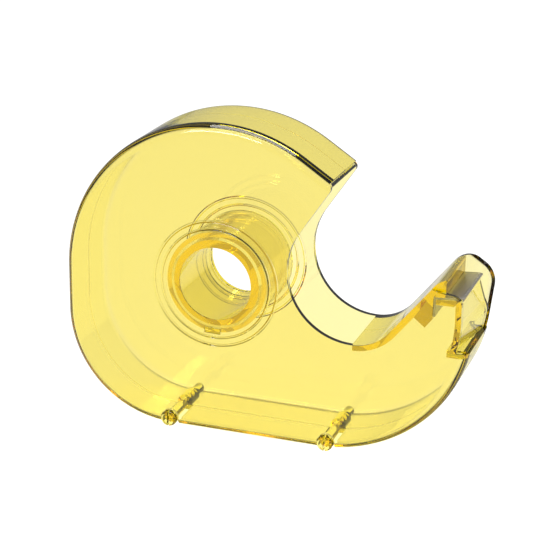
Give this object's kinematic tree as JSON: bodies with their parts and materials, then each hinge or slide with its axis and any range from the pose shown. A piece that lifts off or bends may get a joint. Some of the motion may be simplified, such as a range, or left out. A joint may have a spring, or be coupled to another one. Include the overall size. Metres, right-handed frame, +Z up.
{
  "type": "tape dispenser",
  "caption": "Snail-shaped hand tape dispenser: clear half shells that slide apart along the hub axis to load a tape roll, with a serrated steel cutter in the nose.",
  "frame": {"origin": "on the hub axis, halfway across the width", "axes": "+Y along the hub axis from the front shell to the rear shell, +X from the disc towards the nose, +Z up from the flat base"},
  "size_m": [0.1018, 0.0241, 0.0771],
  "materials": {
    "clear_front": "polished clear yellow polystyrene",
    "clear_rear": "polished clear yellow polystyrene",
    "cutter_steel": "stamped thin steel strip"
  },
  "bodies": {
    "rear_half": {"rear_shell": "clear_rear"},
    "front_half": {"front_shell": "clear_front", "cutter_blade": "cutter_steel"}
  },
  "joints": [
    {"name": "front_pull", "type": "slide", "parent": "rear_half", "child": "front_half", "axis": [0, -1, 0], "range_m": [0, 0.03]}
  ]
}
